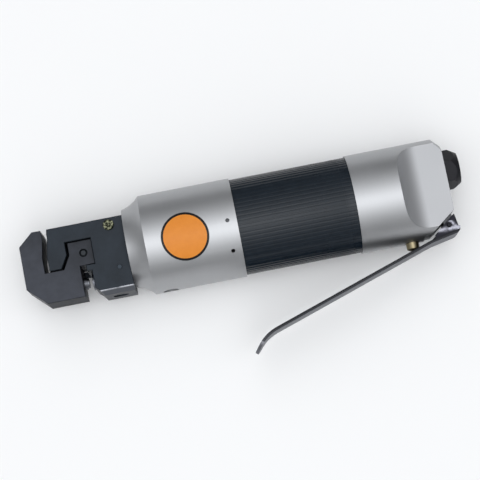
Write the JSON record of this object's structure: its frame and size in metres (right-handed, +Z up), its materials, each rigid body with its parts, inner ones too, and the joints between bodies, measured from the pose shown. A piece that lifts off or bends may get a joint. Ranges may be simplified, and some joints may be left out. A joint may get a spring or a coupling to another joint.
{
  "type": "air punch and flange tool",
  "caption": "Hand-held air tool with a round barrel, ribbed grip, throttle lever and a hook-jaw head that flanges sheet edges and punches holes.",
  "frame": {"origin": "on the barrel axis, in the middle of the straight part of the front barrel", "axes": "+X along the barrel from the nose to the air inlet, +Y away from the lever, +Z up out of the label side"},
  "size_m": [0.2171, 0.0874, 0.0488],
  "materials": {
    "head_steel": "black oxide, satin",
    "shank_steel": "machined",
    "tool_steel": "hardened, ground",
    "ground_steel": "ground",
    "black_steel": "blackened, satin",
    "yellow_zinc": "zinc plated, yellow passivated",
    "spring_steel": "oiled wire",
    "bronze": "machined",
    "satin_aluminium": "satin, fine turned",
    "plain_aluminium": "machined",
    "grip_rubber": "glossy, fine ribs",
    "seal_rubber": "matt",
    "brass": "machined",
    "plated_steel": "nickel plated"
  },
  "bodies": {
    "barrel": {"front_barrel": "satin_aluminium", "head_lock_screw": "black_steel", "head_frame": "head_steel", "head_shank": "shank_steel", "head_screws": "yellow_zinc", "head_dowels": "ground_steel", "punch_die": "head_steel", "rocker_pin": "ground_steel", "wedge_guide": "bronze", "spring_seat": "shank_steel", "cylinder_tube": "plain_aluminium", "grip_sleeve": "grip_rubber", "piston_bumper": "seal_rubber", "rear_housing": "satin_aluminium", "housing_seal": "seal_rubber", "valve_bush": "brass", "valve_plug": "plain_aluminium", "inlet_bushing": "black_steel", "inlet_screen": "brass", "lever_pin": "ground_steel", "jaw_spring": "spring_steel", "return_spring": "spring_steel", "valve_spring": "spring_steel"},
    "piston_group": {"piston_rod": "tool_steel", "piston": "plain_aluminium", "piston_seal": "seal_rubber", "piston_nut": "yellow_zinc"},
    "rocker_group": {"rocker": "tool_steel", "roller_pin": "ground_steel"},
    "roller": {"rocker_roller": "ground_steel"},
    "jaw_group": {"moving_jaw": "head_steel", "punch": "tool_steel", "jaw_pin": "ground_steel", "draw_bar": "tool_steel", "trunnion_pin": "ground_steel"},
    "lever": {"lever": "plated_steel"},
    "valve_group": {"valve_stem": "brass", "stem_seal": "seal_rubber", "valve_seal": "seal_rubber"}
  },
  "joints": [
    {"name": "piston_slide", "type": "slide", "parent": "barrel", "child": "piston_group", "axis": [-1, 0, 0], "range_m": [0, 0.018], "stiffness_N_per_m": 1200, "springref_m": -0.01, "deforming": ["return_spring"]},
    {"name": "rocker_hinge", "type": "hinge", "parent": "barrel", "child": "rocker_group", "pos_m": [-0.022, 0.0095, 0], "axis": [0, 0, 1], "range_deg": [0, 12.62]},
    {"name": "roller_spin", "type": "hinge", "parent": "rocker_group", "child": "roller", "pos_m": [0.004, 0.002, 0], "axis": [0, 0, -1], "continuous": true},
    {"name": "jaw_slide", "type": "slide", "parent": "barrel", "child": "jaw_group", "axis": [1, 0, 0], "range_m": [0, 0.0021], "deforming": ["jaw_spring"]},
    {"name": "lever_hinge", "type": "hinge", "parent": "barrel", "child": "lever", "pos_m": [0.123, -0.0199, 0], "axis": [0, 0, -1], "range_deg": [0, 7.2], "stiffness_Nm_per_rad": 0.45, "springref_deg": -17.19},
    {"name": "valve_slide", "type": "slide", "parent": "barrel", "child": "valve_group", "axis": [0, 1, 0], "range_m": [0, 0.0024], "deforming": ["valve_spring"]}
  ],
  "couplings": [
    {"joint": "rocker_hinge", "follows": "piston_slide", "rad_per_m": 12.23},
    {"joint": "jaw_slide", "follows": "piston_slide", "ratio": 0.11666},
    {"joint": "valve_slide", "follows": "lever_hinge", "m_per_rad": 0.019}
  ]
}
